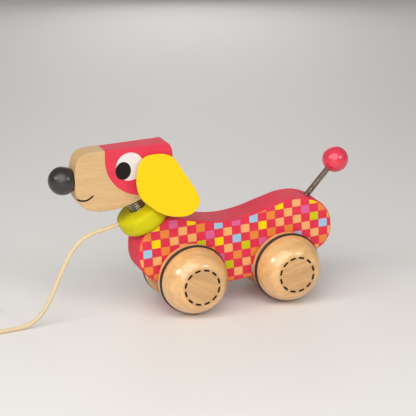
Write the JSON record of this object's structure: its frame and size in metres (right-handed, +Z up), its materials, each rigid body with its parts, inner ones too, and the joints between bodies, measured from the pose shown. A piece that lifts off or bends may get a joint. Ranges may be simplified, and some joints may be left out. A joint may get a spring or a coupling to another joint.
{
  "type": "pull-along toy",
  "caption": "Flat wooden toy dog on domed wheels with rubber rings, a spring neck, a spring tail with a bead, felt ears and a pull cord.",
  "frame": {"origin": "on the floor under the middle of the toy, midway between the tip of the nose and the back of the tail bead", "axes": "+X towards the tail (the dog faces -X), +Y towards the dog's right side, +Z up"},
  "size_m": [0.3103, 0.0748, 0.1245],
  "materials": {
    "red_paint": "satin printed paint on wood",
    "lime_paint": "semi-gloss paint on wood",
    "head_wood": "satin varnished pale wood with a printed red cap",
    "black_paint": "gloss paint on wood",
    "yellow_felt": "wool felt",
    "tail_red_paint": "semi-gloss paint on wood",
    "varnished_beech": "gloss varnished beech",
    "plain_wood": "bare sanded wood",
    "black_rubber": "satin rubber",
    "dark_steel": "oiled dark spring steel",
    "cotton_cord": "matte braided cotton"
  },
  "bodies": {
    "chassis": {"body": "red_paint", "neck_dowel": "plain_wood", "neck_bead": "lime_paint", "pull_cord": "cotton_cord", "cord_coil": "cotton_cord", "cord_end": "cotton_cord", "cord_bead": "varnished_beech", "cord_knot": "cotton_cord"},
    "neck": {"neck_spring": "dark_steel"},
    "head": {"head": "head_wood", "nose": "black_paint", "nose_dowel": "plain_wood"},
    "ear_left": {"ear_left": "yellow_felt"},
    "ear_right": {"ear_right": "yellow_felt"},
    "tail_spring": {"tail_spring": "dark_steel"},
    "tail_bead": {"tail_bead": "tail_red_paint"},
    "front_axle": {"axle_front": "plain_wood", "wheel_front_left": "varnished_beech", "ring_front_left": "black_rubber", "wheel_front_right": "varnished_beech", "ring_front_right": "black_rubber"},
    "rear_axle": {"axle_rear": "plain_wood", "wheel_rear_left": "varnished_beech", "ring_rear_left": "black_rubber", "wheel_rear_right": "varnished_beech", "ring_rear_right": "black_rubber"}
  },
  "joints": [
    {"name": "front_axle_spin", "type": "hinge", "parent": "chassis", "child": "front_axle", "pos_m": [-0.0143, 0, 0.0254], "axis": [0, 1, 0], "continuous": true},
    {"name": "rear_axle_spin", "type": "hinge", "parent": "chassis", "child": "rear_axle", "pos_m": [0.0579, 0, 0.0254], "axis": [0, 1, 0], "continuous": true},
    {"name": "neck_nod", "type": "hinge", "parent": "chassis", "child": "neck", "pos_m": [-0.051, 0, 0.08145], "axis": [0, 1, 0], "range_deg": [-10, 4], "stiffness_Nm_per_rad": 0.25, "springref_deg": 1.49, "deforming": ["neck_spring"]},
    {"name": "neck_sway", "type": "hinge", "parent": "neck", "child": "head", "pos_m": [-0.051, 0, 0.08145], "axis": [1, 0, 0], "range_deg": [-5, 5], "stiffness_Nm_per_rad": 0.25},
    {"name": "ear_left_flap", "type": "hinge", "parent": "head", "child": "ear_left", "pos_m": [-0.036, -0.0083, 0.1176], "axis": [-1, 0, 0], "range_deg": [0, 50]},
    {"name": "ear_right_flap", "type": "hinge", "parent": "head", "child": "ear_right", "pos_m": [-0.036, 0.0083, 0.1176], "axis": [1, 0, 0], "range_deg": [0, 50]},
    {"name": "tail_nod", "type": "hinge", "parent": "chassis", "child": "tail_spring", "pos_m": [0.08896, 0, 0.08058], "axis": [0, 1, 0], "range_deg": [-20, 20], "stiffness_Nm_per_rad": 0.03, "deforming": ["tail_spring"]},
    {"name": "tail_wag", "type": "hinge", "parent": "tail_spring", "child": "tail_bead", "pos_m": [0.08896, 0, 0.08058], "axis": [-0.7409, 0, 0.6716], "range_deg": [-25, 25], "stiffness_Nm_per_rad": 0.03}
  ]
}
